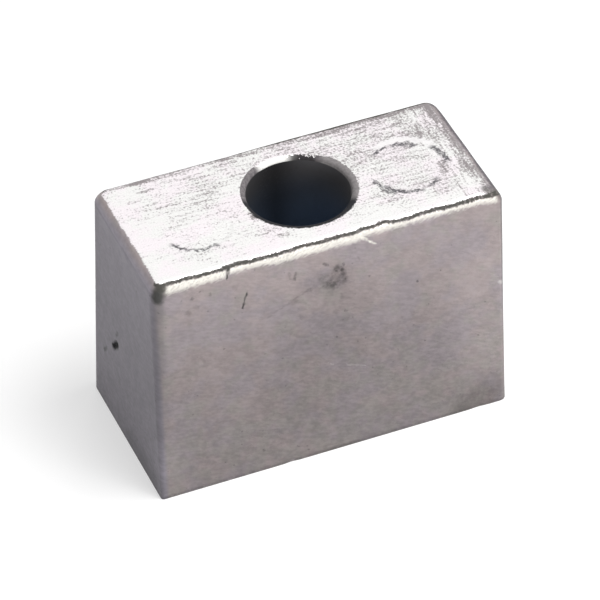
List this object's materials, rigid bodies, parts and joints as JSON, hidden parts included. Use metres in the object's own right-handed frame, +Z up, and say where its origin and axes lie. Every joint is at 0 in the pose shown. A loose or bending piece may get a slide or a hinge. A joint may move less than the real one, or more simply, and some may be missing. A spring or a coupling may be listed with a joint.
{
  "type": "sacrificial anode",
  "caption": "Cast block anode with leaning walls, rounded cast edges and one bolt bore through its middle.",
  "frame": {"origin": "middle of the parting face, the flat face that the block stands on", "axes": "+X along the block, +Y across it to the back, +Z up the bore and out of its rounded mouth"},
  "size_m": [0.046, 0.0234, 0.032],
  "materials": {
    "cast_zinc": "pale grey cast zinc alloy, satin on the walls and brighter on the dressed top"
  },
  "bodies": {
    "root": {"anode_block": "cast_zinc"}
  },
  "joints": []
}
